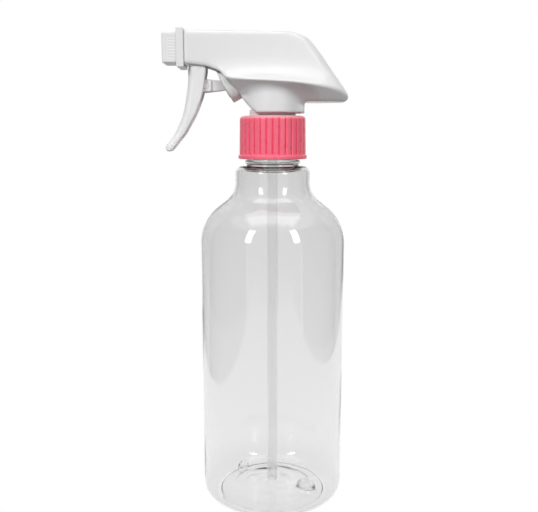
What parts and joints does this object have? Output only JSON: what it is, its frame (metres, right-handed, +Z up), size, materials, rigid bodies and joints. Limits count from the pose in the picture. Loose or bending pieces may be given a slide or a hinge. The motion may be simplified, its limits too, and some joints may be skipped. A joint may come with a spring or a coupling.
{
  "type": "trigger spray bottle",
  "caption": "Clear round bottle with a ribbed screw closure and a white trigger pump head with a square turning nozzle.",
  "frame": {"origin": "centre of the standing ring, in the plane that the bottle stands on", "axes": "+Z up along the bottle's axis, -X the way the nozzle points, +Y across"},
  "size_m": [0.0868, 0.07, 0.2298],
  "materials": {
    "clear_bottle": "clear blown PET, glossy",
    "pink_closure": "pink moulded polypropylene, satin gloss",
    "gasket_rubber": "soft pale elastomer",
    "pump_white": "moulded polypropylene, slightly grey white",
    "tube_natural": "extruded natural polyethylene, translucent",
    "valve_steel": "polished stainless steel",
    "piston_natural": "natural polyethylene",
    "spring_steel": "drawn stainless wire",
    "linkage_white": "moulded acetal, white",
    "trigger_white": "moulded polypropylene, glossy white",
    "shroud_white": "moulded polypropylene, glossy white",
    "nozzle_white": "moulded polypropylene, white, fine grip ribs",
    "insert_white": "hard moulded insert, white"
  },
  "bodies": {
    "bottle": {"bottle": "clear_bottle"},
    "sprayer": {"pump_body": "pump_white", "shroud": "shroud_white", "closure_gasket": "gasket_rubber", "tube_retainer": "pump_white", "dip_tube": "tube_natural", "swirl_insert": "insert_white", "nozzle_seal": "gasket_rubber", "return_spring": "spring_steel", "outlet_spring": "spring_steel"},
    "closure": {"closure_cap": "pink_closure"},
    "nozzle": {"nozzle_knob": "nozzle_white", "orifice_insert": "insert_white"},
    "trigger": {"trigger": "trigger_white"},
    "rod": {"piston_rod": "linkage_white"},
    "piston": {"piston": "piston_natural"},
    "intake_ball": {"intake_ball": "valve_steel"},
    "outlet_valve": {"outlet_valve": "piston_natural"}
  },
  "joints": [
    {"name": "sprayer_rise", "type": "slide", "parent": "bottle", "child": "sprayer", "axis": [0, 0, 1], "range_m": [0, 0.0105]},
    {"name": "closure_turn", "type": "hinge", "parent": "sprayer", "child": "closure", "pos_m": [0, 0, 0.18], "axis": [0, 0, 1], "range_deg": [0, 905]},
    {"name": "nozzle_turn", "type": "hinge", "parent": "sprayer", "child": "nozzle", "pos_m": [-0.046, 0, 0.221], "axis": [-1, 0, 0], "continuous": true},
    {"name": "trigger_pull", "type": "hinge", "parent": "sprayer", "child": "trigger", "pos_m": [-0.036, 0, 0.218], "axis": [0, -1, 0], "range_deg": [0, 20], "stiffness_Nm_per_rad": 0.1, "springref_deg": -28.65},
    {"name": "rod_swing", "type": "hinge", "parent": "trigger", "child": "rod", "pos_m": [-0.0314, 0, 0.204], "axis": [0, -1, 0], "range_deg": [-20.5, 0]},
    {"name": "piston_stroke", "type": "slide", "parent": "sprayer", "child": "piston", "axis": [0.8746, 0, 0.4848], "range_m": [0, 0.0052], "deforming": ["return_spring"]},
    {"name": "intake_lift", "type": "slide", "parent": "sprayer", "child": "intake_ball", "axis": [0, 0, 1], "range_m": [0, 0.0012]},
    {"name": "outlet_lift", "type": "slide", "parent": "sprayer", "child": "outlet_valve", "axis": [-1, 0, 0], "range_m": [0, 0.0008], "stiffness_N_per_m": 20, "springref_m": -0.002, "deforming": ["outlet_spring"]}
  ],
  "couplings": [
    {"joint": "closure_turn", "follows": "sprayer_rise", "rad_per_m": 1496},
    {"joint": "rod_swing", "follows": "trigger_pull", "ratio": -1},
    {"joint": "piston_stroke", "follows": "trigger_pull", "m_per_rad": 0.01466}
  ]
}
